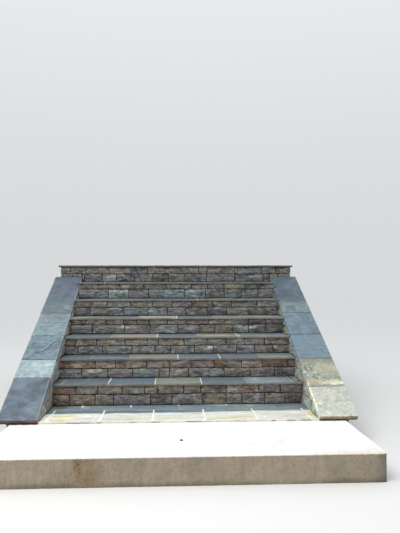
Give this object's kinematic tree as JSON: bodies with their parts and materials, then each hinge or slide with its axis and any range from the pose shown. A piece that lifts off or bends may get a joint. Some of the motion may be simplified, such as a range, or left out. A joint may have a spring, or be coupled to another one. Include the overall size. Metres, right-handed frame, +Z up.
{
  "type": "outdoor stone steps",
  "caption": "Straight flight of stone-faced outdoor steps with flagstone treads, sloping flagstone-capped side walls, a paved landing and a cast concrete bottom step.",
  "frame": {"origin": "centre of the footprint, on the ground", "axes": "+Z up, -Y the front where people step up, +Y the house side, X across the steps"},
  "size_m": [3, 4.83, 1.577],
  "materials": {
    "facing_stone": "matte",
    "tread_flagstone": "matte",
    "cap_flagstone": "matte",
    "apron_flagstone": "matte",
    "landing_flagstone": "matte",
    "concrete": "matte",
    "mortar_block": "matte"
  },
  "bodies": {
    "root": {"concrete_step": "concrete", "apron_base": "concrete", "apron_front_row": "apron_flagstone", "apron_back_row": "apron_flagstone", "riser_1": "facing_stone", "riser_2": "facing_stone", "riser_3": "facing_stone", "riser_4": "facing_stone", "riser_5": "facing_stone", "riser_6": "facing_stone", "riser_7": "facing_stone", "tread_1": "tread_flagstone", "tread_2": "tread_flagstone", "tread_3": "tread_flagstone", "tread_4": "tread_flagstone", "tread_5": "tread_flagstone", "tread_6": "tread_flagstone", "core_course_1": "mortar_block", "core_course_2": "mortar_block", "core_course_3": "mortar_block", "core_course_4": "mortar_block", "core_course_5": "mortar_block", "core_course_6": "mortar_block", "core_course_7": "mortar_block", "left_side_wall": "facing_stone", "right_side_wall": "facing_stone", "left_landing_wall": "facing_stone", "right_landing_wall": "facing_stone", "landing_back_wall": "facing_stone", "landing_row_1": "landing_flagstone", "landing_row_2": "landing_flagstone", "landing_row_3": "landing_flagstone", "landing_row_4": "landing_flagstone", "left_cap_1": "cap_flagstone", "left_cap_2": "cap_flagstone", "left_cap_3": "cap_flagstone", "left_cap_4": "cap_flagstone", "left_cap_5": "cap_flagstone", "right_cap_1": "cap_flagstone", "right_cap_2": "cap_flagstone", "right_cap_3": "cap_flagstone", "right_cap_4": "cap_flagstone", "right_cap_5": "cap_flagstone"}
  },
  "joints": []
}
